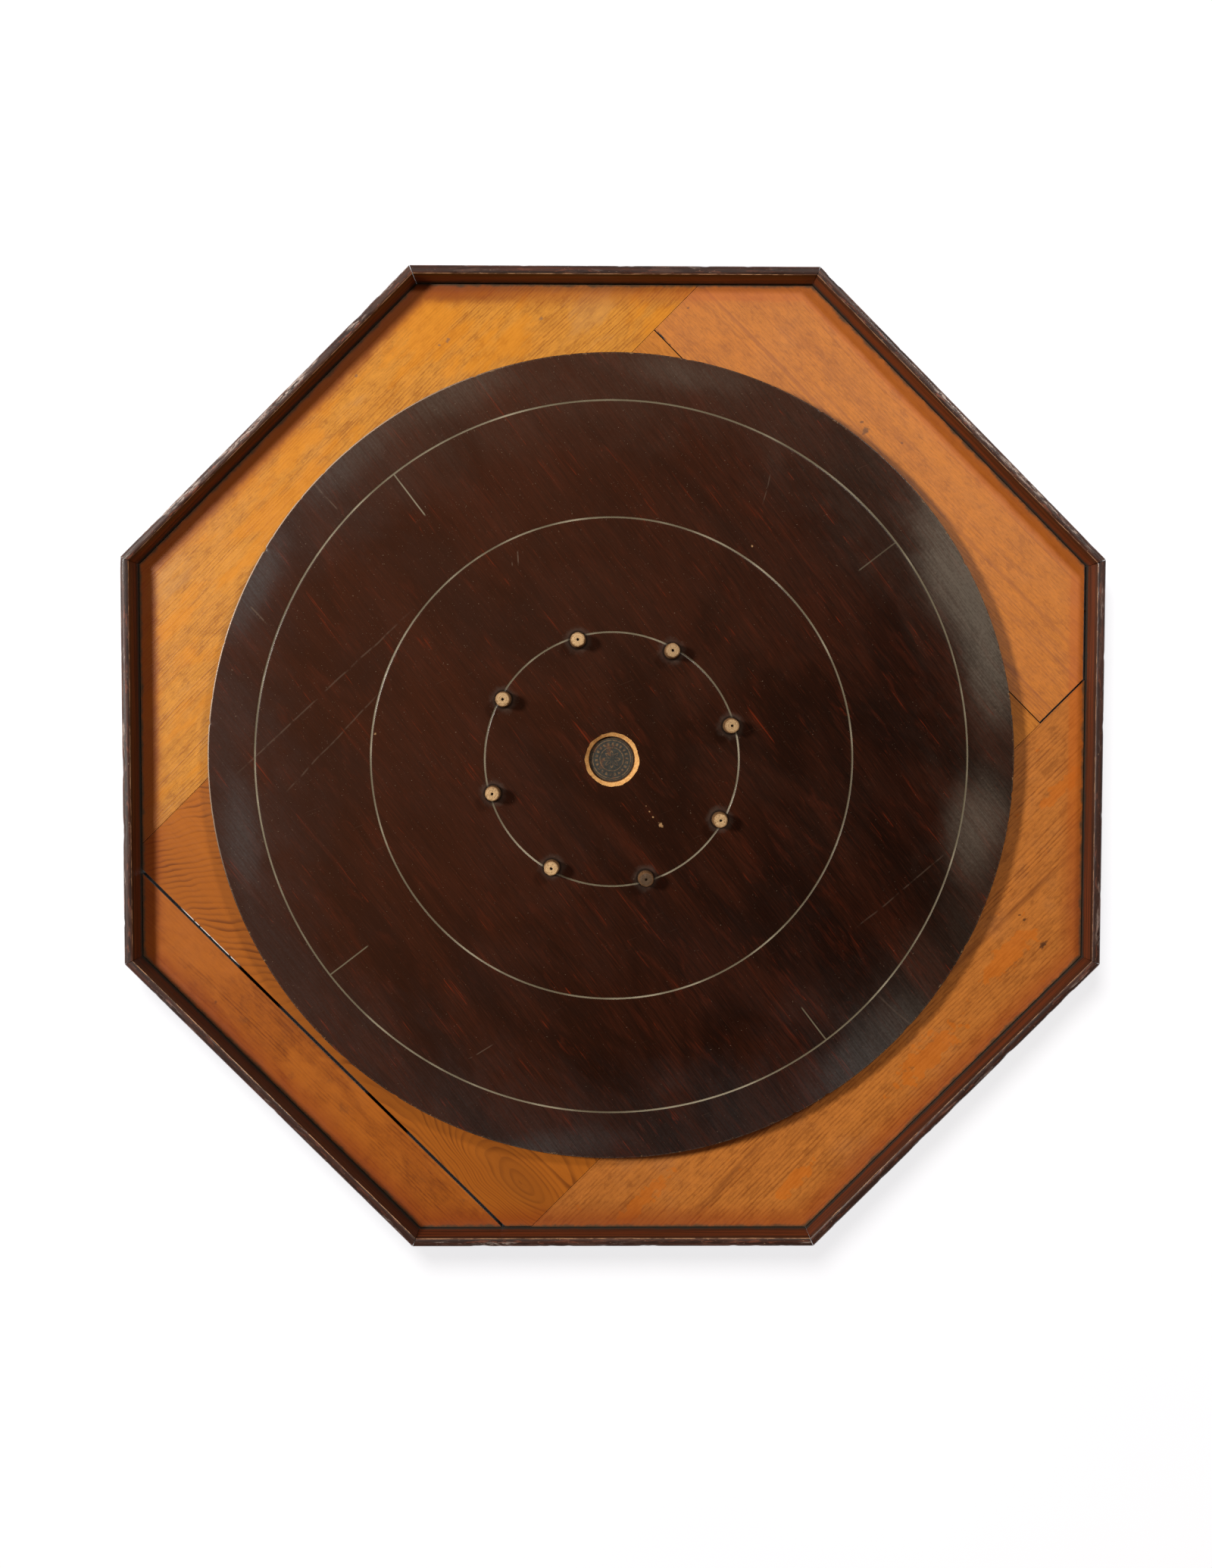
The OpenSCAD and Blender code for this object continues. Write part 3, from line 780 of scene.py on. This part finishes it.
# %% The disc's damage
def disc_damage(f, colour, radius, turn, z, speckle):
    """Chips, bites in the rim, a painted highlight along its edge on the lamp's side, and the dark
    wall below it.
    """
    chips = gather([spot(f, *chip) for chip in CHIPS])
    bites = radius.rise(DISC_RADIUS - 2.4, DISC_RADIUS - 0.4) * z.rise(DISC_TOP - 2.5, DISC_TOP - 1)
    bites = bites * f.noise(f.place, 0.28, 3, 0.7).rise(0.58, 0.68)
    colour = f.mix(colour, paint(166, 130, 90), (chips + bites * 0.6).math("MINIMUM", 1.0))
    # Painted highlight: a pale line along the rim's rounded edge on the left, broken up by speckle.
    west = (turn - math.radians(152)).math("COSINE").rise(0.6, 0.98) * 0.75 + 0.06
    rubbed_and_glint = (speckle * (1 - west) + west).rise(0.42, 0.60) * west
    rim_highlight = radius.band(DISC_RADIUS - 0.7, 0.32, 0.25) * z.rise(DISC_TOP - 1.2, DISC_TOP - 0.9)
    colour = f.mix(colour, paint(206, 180, 156), rim_highlight * rubbed_and_glint)
    wall = z.rise(DISC_TOP - 1, DISC_TOP - 2.4) * radius.rise(60, 90)
    return f.mix(colour, paint(28, 15, 9), wall * 0.7)


# %% The disc's finish
def stained_disc():
    f = Finish("stained_disc", Specular_IOR_Level=0.14, Coat_Roughness=0.10)
    radius, turn, x, y = disc_polar(f)
    z = f.split(f.place)[2]
    colour, fine, threads, streak, pores = disc_wood(f, f.turned(DISC_GRAIN), x, y)
    colour, film_and_reflection, haze, speckle = disc_haze_and_reflection(f, colour, radius, x, y, fine, threads)
    colour, line = disc_lines(f, colour, radius, x, y)
    colour = disc_scuffs(f, colour, radius, turn, x, y)
    colour = disc_damage(f, colour, radius, turn, z, speckle)
    cut = radius.rise(27.0, 26.5) * z.rise(DISC_TOP - 0.07, DISC_TOP - 0.2)
    worn = f.noise(f.place, 0.5, 4, 0.7).rise(0.4, 0.7)
    bare = f.mix(paint(236, 184, 116), paint(208, 148, 84), worn)
    bare = f.mix(bare, paint(110, 70, 36), z.rise(33.2, 30.5))
    colour = f.mix(colour, bare, cut)
    rough = 0.17 + fine * 0.06 + haze * 0.10 + film_and_reflection * 0.12 + line * 0.25 + cut * 0.4
    grain = (fine * 0.6 + pores * -0.5 + streak * 0.3) * (1 - line)
    normal = f.bump(grain, 0.12, 0.3, f.bump(haze, 0.12, 3.0))
    return f.set(Base_Color=colour, Roughness=rough, Normal=normal, Coat_Weight=0.06)


deliver(disc, "disc_top", stained_disc(), ["playing_disc"])

# %% [markdown]
# ## The label in the hole
#
# A small printed label lies in the recess. Its print here is a plain pattern:
# three rings, a ring of short dashes and a flower of eight petals. All of it is
# made from the angle and the distance to the middle.

# %% The label's finish
def label_print():
    f = Finish("label_print", Specular_IOR_Level=0.3)
    radius, turn = disc_polar(f)[:2]
    petal = ((turn * 4).math("COSINE")).math("ABSOLUTE") * 5.2 + 1.4
    flower = (radius - petal).math("ABSOLUTE").rise(0.9, 0.35)
    dashes = (turn * 22).math("SINE").rise(-0.1, 0.35) * radius.band(12.6, 0.9, 0.35)
    rings = gather([radius.band(15.6, 0.22, 0.3), radius.band(9.6, 0.2, 0.3),
                    radius.band(17.2, 0.15, 0.25)])
    ink = (flower + dashes + rings).math("MINIMUM", 1.0)
    worn = f.noise(f.place, 0.35, 4, 0.7)
    grit = f.noise(f.place, 1.6, 4, 0.75)
    colour = f.mix(paint(34, 36, 35), paint(62, 62, 55), (worn * 0.5 + grit * 0.5).rise(0.38, 0.62))
    left = (worn * 0.6 + grit * 0.4).rise(0.38, 0.58)
    colour = f.mix(colour, paint(136, 104, 68), ink * left * 0.72)
    rust = f.noise(f.place, 0.14, 4, 0.7).rise(0.55, 0.68)
    colour = f.mix(colour, paint(120, 74, 40), rust * 0.45)
    colour = f.mix(colour, paint(30, 26, 22), radius.rise(16.6, 18.4) * 0.7)
    return f.set(Base_Color=colour, Roughness=0.55 + worn * 0.3,
                 Normal=f.bump(ink + worn, 0.25, 0.2))


carry_over("centre_label", label_print())
print("label's print is", round(2 * LABEL_RADIUS, 1), "mm across")

# %% [markdown]
# ## Pegs
#
# Eight turned pegs stand round the inner circle. Each is spun like the disc,
# with a sunk brad's hole down its middle. Years of knocks have rounded their top
# edges unevenly and left them leaning by about a degree.

# %% The pegs' finish
def peg_wood(name, number, stain):
    f = Finish(name, Specular_IOR_Level=0.3)
    angle = math.radians(PEG_START + PEG_STEP * number)
    cx = DISC_MIDDLE.x + PEG_CIRCLE * math.cos(angle)
    cy = DISC_MIDDLE.y + PEG_CIRCLE * math.sin(angle)
    x, y, z = f.split(f.place)
    dx, dy = x - cx, y - cy
    radius = (dx * dx + dy * dy) ** 0.5
    speck = f.noise(f.place, 1.1, 4, 0.7)
    rings = ((radius + (f.noise(f.place, 0.4, 2) - 0.5) * 2.4) * 4.4).math("SINE") * 0.5 + 0.5
    top = z.rise(DISC_TOP + 13.0, DISC_TOP + 14.4)
    end = f.mix(paint(214, 180, 132), paint(172, 132, 88), rings * 0.5)
    end = f.mix(end, paint(88, 58, 34), speck.rise(0.53, 0.64) * 0.80)
    end = f.mix(end, paint(50, 31, 20), stain)
    end = f.mix(end, paint(120, 84, 54), radius.rise(4.2, 6.0) * 0.6)
    scrape = f.stretched(f.place, 1.2, 1.2, 3).rise(0.4, 0.7)
    side = f.mix(paint(150, 112, 72), paint(92, 62, 40), scrape)
    side = f.mix(side, paint(52, 34, 24), z.rise(DISC_TOP + 6, DISC_TOP + 0.5) * 0.8 + stain * 0.2)
    colour = f.mix(side, end, top)
    colour = f.mix(colour, paint(14, 9, 6), radius.rise(1.20, 0.95))
    return f.set(Base_Color=colour, Roughness=0.55 + speck * 0.25,
                 Normal=f.bump(speck + rings * 0.3, 0.35, 0.3))


# %% Turn the pegs
# How dark each peg's top is, and each peg's lean and its heading in degrees.
STAINS = (0.25, 0.30, 0.0, 0.12, 0.08, 0.0, 0.9, 0.15)
LEANS = ((0.9, 20), (1.2, 200), (0.8, 100), (1.0, 320),
         (1.1, 150), (1.4, 250), (1.2, 60), (0.9, 330))
BORE, SPIGOT, PEG_HEIGHT = 0.95, 4.5, 15
profile = [(BORE, -8), (SPIGOT, -8), (SPIGOT, 0), (6.6, 0)]
profile += [(6.62, 0.6), (6.4, 3), (6.15, 8), (6.0, 12.6)]
profile += arc((4.6, 13.4), 1.4, 8, 84, 6)
profile += [(3.4, 14.92), (1.7, 14.9), (1.15, 14.75), (BORE, 14.3)]
for number, stain in enumerate(STAINS):
    bm = bmesh.new()
    loop = [bm.verts.new((radius, 0, height)) for radius, height in profile]
    edges = [bm.edges.new(pair) for pair in zip(loop, loop[1:] + loop[:1])]
    bmesh.ops.spin(bm, geom=loop + edges, cent=(0, 0, 0), axis=(0, 0, 1),
                   angle=math.tau, steps=72, use_merge=True)
    bmesh.ops.remove_doubles(bm, verts=bm.verts, dist=1e-4)
    bmesh.ops.recalc_face_normals(bm, faces=bm.faces)
    for vert in bm.verts:
        if vert.co.z > 1 and math.hypot(vert.co.x, vert.co.y) > 2:
            knock = noise.noise(vert.co * 0.33 + Vector((number * 7.0, 0, 0)))
            out = Vector((vert.co.x, vert.co.y, 0)).normalized()
            height = vert.co.z / PEG_HEIGHT
            vert.co -= out * max(0.0, knock + 0.15) * 0.55 * height ** 3
            vert.co.z -= max(0.0, knock - 0.05) * 0.8 * height ** 6
    tilt, heading = LEANS[number]
    hinge = Matrix.Rotation(math.radians(heading), 3, "Z") @ Vector((1, 0, 0))
    lean = Matrix.Rotation(math.radians(tilt), 4, hinge)
    for vert in bm.verts:
        if vert.co.z > 0.5:
            vert.co = lean @ vert.co
    angle = math.radians(PEG_START + PEG_STEP * number)
    foot = DISC_MIDDLE + Vector((math.cos(angle), math.sin(angle), 0)) * PEG_CIRCLE
    bmesh.ops.translate(bm, verts=bm.verts, vec=foot + Vector((0, 0, DISC_TOP)))
    deliver(bm, f"turned_peg_{number + 1}", peg_wood(f"peg_wood_{number + 1}", number, stain),
            [f"peg_{number + 1}"])

# %% [markdown]
# ## The rails
#
# Each rail is one moulding, rounded over on its outer top edge, with a little
# bead and a hollow on its inner face. Its section is pushed out to the rail's
# length and cut across into short steps, and every point is then moved so that
# the ends meet in mitres. Knocks along the top are cut in where they would fall:
# on the two edges of the cap. The mitres are tight below and open a little above.

# %% The rail's section
FOOT = 10.0
rail_section = [(0.5, 0), (0, 0.5), (0, 20), (0, 34)]
rail_section += arc((3.2, 38.7), 3.2, 180, 95, 7)
rail_section += [(4.2, 41.97), (5.2, 41.93), (6.1, 41.8), (6.8, 41.5), (7.25, 41.0)]
rail_section += [(7.45, 40.4), (7.3, 39.8), (7.05, 39.4), (7.1, 38.9), (7.35, 37.9)]
rail_section += [(7.75, 36.2), (8.2, 34.0), (8.75, 31.4), (9.3, 28.8), (9.75, 26.0)]
rail_section += [(FOOT, 23.6), (FOOT, 12), (FOOT, 0.5), (FOOT - 0.5, 0)]
print("points in the rail's section:", len(rail_section))

# %% Sweep one rail
SWEEP_CUTS = 229
MITRE = math.tan(math.radians(22.5))
HALF_LENGTH = OUTER_FLAT * MITRE
TIGHT_GAP, GAP_OPENS, GAP_OPEN = 0.03, 24, 38


def clamp(value):
    return max(0.0, min(1.0, value))


def sweep_rail(angle, gap_start, gap_end, seed):
    """A mitred rail whose outer face looks towards angle."""
    bm = bmesh.new()
    loop = [bm.verts.new((-HALF_LENGTH, OUTER_FLAT - inset, height))
            for inset, height in rail_section]
    edges = [bm.edges.new(pair) for pair in zip(loop, loop[1:] + loop[:1])]
    bmesh.ops.contextual_create(bm, geom=edges)
    pushed = bmesh.ops.extrude_face_region(bm, geom=bm.faces[:], use_keep_orig=True)["geom"]
    far = [part for part in pushed if isinstance(part, bmesh.types.BMVert)]
    bmesh.ops.translate(bm, verts=far, vec=(2 * HALF_LENGTH, 0, 0))
    lengthwise = [edge for edge in bm.edges if abs(edge.verts[0].co.x - edge.verts[1].co.x) > 1]
    bmesh.ops.subdivide_edges(bm, edges=lengthwise, cuts=SWEEP_CUTS, use_grid_fill=True)
    bmesh.ops.recalc_face_normals(bm, faces=bm.faces)
    for vert in bm.verts:
        length = vert.co.y * MITRE
        gap = gap_end if vert.co.x > 0 else gap_start
        gap = TIGHT_GAP + gap * clamp((vert.co.z - GAP_OPENS) / (GAP_OPEN - GAP_OPENS))
        vert.co.x *= (length - gap) / HALF_LENGTH
        inset, height = OUTER_FLAT - vert.co.y, vert.co.z
        seat = Vector((vert.co.x * 0.05, inset * 0.12, seed))
        rough = noise.noise(seat) + 0.5 * noise.noise(seat * 3.1)
        crown = clamp((height - 36) / 5)
        outer_edge = crown * max(0.0, 1 - inset / 3.4)
        inner_edge = crown * max(0.0, 1 - abs(inset - 7.2) / 1.6) * (height > 39.6)
        bite = max(0.0, rough - 0.22)
        vert.co.y -= (min(bite, 0.6) * 1.3 + 0.05 * (1 + rough)) * outer_edge
        vert.co.z -= min(bite, 0.6) * 0.9 * outer_edge + min(bite, 0.6) * 1.1 * inner_edge
        vert.co.y += min(bite, 0.6) * 0.8 * inner_edge
        vert.co.z -= 0.06 * (1 + noise.noise(seat * 0.4)) * (height > 39)
    bmesh.ops.rotate(bm, verts=bm.verts, cent=(0, 0, 0),
                     matrix=Matrix.Rotation(math.radians(angle - 90), 3, "Z"))
    return bm


print("a rail's longest edge in mm:", round(2 * HALF_LENGTH, 1))

# %% [markdown]
# The rails' stain is nearly black on top, where hands and sleeves have rubbed
# it to grey and pink along both edges. The inner face kept more of its red. The
# finish works in each rail's own frame, where x runs along it and y points out.

# %% The rails' finish
def rail_finish(name, angle, wear, bead, shade, seed):
    """Wear is for the outer half of the cap, bead for the ridge along its inner edge, and shade for
    painted shade on the inner face.
    """
    f = Finish(name, Specular_IOR_Level=0.5)
    along_vector = f.turned(angle - 90)
    _, out, z = f.split(along_vector)
    inset = OUTER_FLAT - out
    grain = f.stretched(along_vector, 60, 0.7, 4.0, 0.7, seed)
    streak = f.stretched(along_vector, 130, 2.2, 3.0, 0.6, seed + 3)
    patches = f.stretched(along_vector, 26, 5, 5.0, 0.7, seed + 6)
    colour = f.mix(paint(44, 22, 14), paint(76, 38, 23), streak.rise(0.4, 0.7))
    colour = f.mix(colour, paint(28, 15, 10), grain.rise(0.5, 0.72) * 0.7)
    top = z.rise(37.5, 40.5)
    rubbed_and_glint = patches.rise(0.60 - wear * 0.16, 0.72 - wear * 0.12)
    colour = f.mix(colour, paint(112, 80, 66), rubbed_and_glint * top * 0.32)
    flakes = f.stretched(along_vector, 9.0, 1.5, 5.0, 0.75, seed + 23)
    cluster = f.stretched(along_vector, 55, 9, 4.0, 0.65, seed + 27)
    cluster = cluster.rise(0.62 - wear * 0.16, 0.68 - wear * 0.10)
    silver = inset.rise(5.6, 3.0) * top * cluster * flakes.rise(0.46, 0.54)
    colour = f.mix(colour, paint(206, 186, 174), silver * wear * 0.9)
    chip = f.stretched(along_vector, 16, 3, 5.0, 0.7, seed + 31).rise(0.56, 0.60)
    red = inset.band(4.6, 1.6, 0.8) * top * chip
    colour = f.mix(colour, paint(132, 74, 52), red * wear * 0.9)
    black = inset.rise(5.6, 3.6) * top * cluster * flakes.rise(0.44, 0.36)
    colour = f.mix(colour, paint(22, 14, 12), black * wear * 0.8)
    inner = inset.rise(7.4, 7.9)
    face_wood = f.mix(paint(110, 50, 20), paint(60, 27, 12), streak.rise(0.38, 0.66))
    colour = f.mix(colour, face_wood, inner * 0.9)
    # Painted shade: the inner face is darker on the rails on the left and below.
    colour = f.mix(colour, paint(20, 10, 7), inner * shade)
    ridge = inset.band(7.0, 0.10, 0.18) * z.rise(39.7, 40.2)
    worn = f.stretched(along_vector, 11, 1.2, 4.0, 0.7, seed + 35).rise(0.44, 0.56) * 0.8 + 0.15
    colour = f.mix(colour, paint(236, 184, 136), ridge * worn * bead)
    outer = inset.rise(2.0, 0.6) * z.rise(36.5, 39.5)
    edge_wear = outer * patches.rise(0.48 - wear * 0.1, 0.62)
    colour = f.mix(colour, paint(138, 94, 72), edge_wear * 0.50)
    nicks = f.stretched(along_vector, 3.0, 1.2, 3.0, 0.6, seed + 11).rise(0.66, 0.72)
    colour = f.mix(colour, paint(196, 158, 128), nicks * top * (0.25 + wear * 0.4))
    grime = inner * (z + (f.noise(f.place, 0.12, 3) - 0.5) * 5).rise(27.5, 23.0)
    colour = f.mix(colour, paint(40, 42, 34), grime * 0.85)
    face = inset.rise(0.6, 0.1) * z.rise(37.0, 34.0)
    scuffs = f.stretched(along_vector, 22, 2.0, 4.0, 0.65, seed + 15).rise(0.60, 0.70)
    colour = f.mix(colour, paint(140, 112, 92), face * scuffs * 0.45)
    foot = z.rise(4.0, 0.5) * f.stretched(along_vector, 14, 4, 4, 0.7, seed + 19).rise(0.4, 0.6)
    colour = f.mix(colour, paint(150, 118, 88), foot * 0.6)
    rough = 0.36 + patches * 0.22 + grime * 0.3 + ridge * 0.15
    height = grain * 0.5 + patches * 0.4 - nicks * 0.6
    normal = f.bump(height, 0.30, 0.4, f.bump(streak, 0.2, 1.5))
    return f.set(Base_Color=colour, Roughness=rough, Normal=normal, Coat_Weight=0.08)


# %% Make the eight rails
# Side, heading, mitre gap at each end in mm, wear, ridge, and painted shade on the inner face.
RAILS = (
    ("north", 90, 0.15, 0.25, 0.35, 0.9, 0.0),
    ("north_west", 135, 0.15, 0.15, 0.95, 0.6, 0.0),
    ("west", 180, 0.15, 0.15, 0.60, 0.6, 0.35),
    ("south_west", 225, 0.15, 0.2, 0.35, 1.0, 0.65),
    ("south", 270, 0.2, 0.14, 0.50, 0.7, 0.15),
    ("south_east", 315, 0.14, 0.16, 0.35, 0.5, 0.15),
    ("east", 0, 0.16, 0.3, 0.40, 0.4, 0.0),
    ("north_east", 45, 0.3, 0.25, 0.80, 0.5, 0.0),
)
for order, (side, angle, gap_a, gap_b, wear, bead, shade) in enumerate(RAILS):
    rail = sweep_rail(angle, gap_b, gap_a, 11.3 * order)
    finish = rail_finish(f"rail_wood_{side}", angle, wear, bead, shade, 5.0 * order)
    deliver(rail, f"moulded_rail_{side}", finish, [f"rail_{side}"], sharp=50.0)

# %% [markdown]
# ## Battens, nails and screws
#
# The back was never meant to be seen. Its two battens are bare wood gone brown,
# and the fixings are dull iron with some rust.

# %% Bare battens
def bare_wood(name, angle):
    f = Finish(name, Specular_IOR_Level=0.25)
    rings, p = growth_rings(f, angle, (30, -60), 3.0, 12, 0.02, 40.0)
    late = late_wood(f, rings, 40.0)
    fibre = f.stretched(p, 26, 0.6, 4.0, 0.7, 41)
    dirt = f.noise(f.place, 0.02, 5, 0.7)
    colour = f.mix(paint(164, 116, 72), paint(112, 72, 42), late * 0.6)
    colour = f.mix(colour, paint(76, 50, 32), fibre.rise(0.5, 0.8) * 0.5)
    colour = f.mix(colour, paint(70, 56, 44), dirt.rise(0.45, 0.72) * 0.7)
    return f.set(Base_Color=colour, Roughness=0.62 + fibre * 0.2,
                 Normal=f.bump(fibre + late * 0.4, 0.35, 0.5))


BATTENS = ("back_batten_1", "back_batten_2")
for batten in BATTENS:
    carry_over(batten, bare_wood(f"bare_{batten}", NORTH_EAST))
print("battens:", len(BATTENS))

# %% Old iron
def old_iron(name, rust):
    f = Finish(name, Metallic=0.9)
    cloud = f.noise(f.place, 0.6, 4, 0.65)
    spread = cloud.rise(0.62 - rust * 0.3, 0.7)
    colour = f.mix(paint(128, 122, 114), paint(82, 76, 70), cloud.rise(0.35, 0.6))
    colour = f.mix(colour, paint(104, 58, 34), spread)
    return f.set(Base_Color=colour, Roughness=0.42 + spread * 0.35,
                 Normal=f.bump(cloud, 0.3, 0.15))


RUST = {"rail_nails": 0.6, "batten_screws": 0.4, "disc_screws": 0.3, "peg_brads": 0.8}
for fixing, rust in RUST.items():
    carry_over(fixing, old_iron(f"iron_{fixing}", rust))
print("kinds of fixing:", len(RUST))

# %% [markdown]
# ## Table, light and camera
#
# The board lies on a pale table. The main lamp is small and stands to the left,
# so the rails, disc and pegs throw short shadows to the right. A weaker lamp at
# the upper right throws the band of shadow along the rails there. The table has
# a soft lamp of its own and glows a little, so it stays white with faint shadows:
# light linking keeps each lamp to the board or to the table.

# %% The table
table = bmesh.new()
bmesh.ops.create_grid(table, x_segments=1, y_segments=1, size=4.0)
table_mesh = bpy.data.meshes.new("table")
table.to_mesh(table_mesh)
table.free()
floor = bpy.data.objects.new("table", table_mesh)
bpy.context.scene.collection.objects.link(floor)
white = Finish("white_table", Roughness=0.9, Specular_IOR_Level=0.1, Emission_Strength=0.77)
cloth = white.noise(white.place, 0.004, 2)
floor.data.materials.append(white.set(
    Base_Color=white.mix(paint(228, 228, 230), paint(234, 234, 235), cloth),
    Emission_Color=white.mix(paint(246, 250, 255), paint(250, 253, 255), cloth)))
print("table in metres:", round(floor.dimensions.x, 1), "by", round(floor.dimensions.y, 1))


# %% Lights
def area_light(name, azimuth, height, reach, size, power, lights_table, colour=(1, 1, 1)):
    """A soft lamp at a heading and a height in metres. It lights the table or the board."""
    lamp = bpy.data.lights.new(name, "AREA")
    lamp.shape, lamp.size, lamp.energy, lamp.color = "DISK", size, power, colour
    stand = bpy.data.objects.new(name, lamp)
    turn = math.radians(azimuth)
    stand.location = (reach * math.cos(turn), reach * math.sin(turn), height)
    stand.rotation_euler = (-Vector(stand.location)).to_track_quat("-Z", "Y").to_euler()
    bpy.context.scene.collection.objects.link(stand)
    lit = bpy.data.collections.new(name + "_lights")
    lit.objects.link(floor)
    link = lit.collection_objects[0].light_linking
    link.link_state = "INCLUDE" if lights_table else "EXCLUDE"
    stand.light_linking.receiver_collection = lit


# Name, heading, height, reach, size, power, whether it lights the table, colour.
area_light("main_lamp", 164, 2.77, 2.72, 0.70, 128, False, (1.0, 0.97, 0.93))
area_light("side_lamp", 46, 2.6, 2.25, 0.55, 37, False, (1.0, 0.97, 0.92))
area_light("table_lamp", 112, 2.8, 2.0, 1.3, 46, True)

# %% Surround
world = bpy.data.worlds.new("studio")
world.use_nodes = True
surround = world.node_tree.nodes["Background"]
surround.inputs["Color"].default_value = (1, 0.66, 0.48, 1)
surround.inputs["Strength"].default_value = 0.15
bpy.context.scene.world = world
bpy.context.scene.view_settings.view_transform = "Standard"
print("lamps:", len(bpy.data.lights))

# %% [markdown]
# The camera hangs over the board, a little off its middle and not quite level,
# so that the far sides of the rails show as they would to someone who leans over.

# %% Camera
SENSOR, LENS = 36.0, 37.356522
CAMERA_PLACE, CAMERA_TURN = (-0.0196, 0.0405, 1.366), (-2.51, -0.56, 0.10)
camera = bpy.data.cameras.new("camera")
camera.sensor_width, camera.lens = SENSOR, LENS
view = bpy.data.objects.new("camera", camera)
view.location = CAMERA_PLACE
view.rotation_euler = [math.radians(turn) for turn in CAMERA_TURN]
bpy.context.scene.collection.objects.link(view)
bpy.context.scene.camera = view
print("camera's height in metres:", CAMERA_PLACE[2])
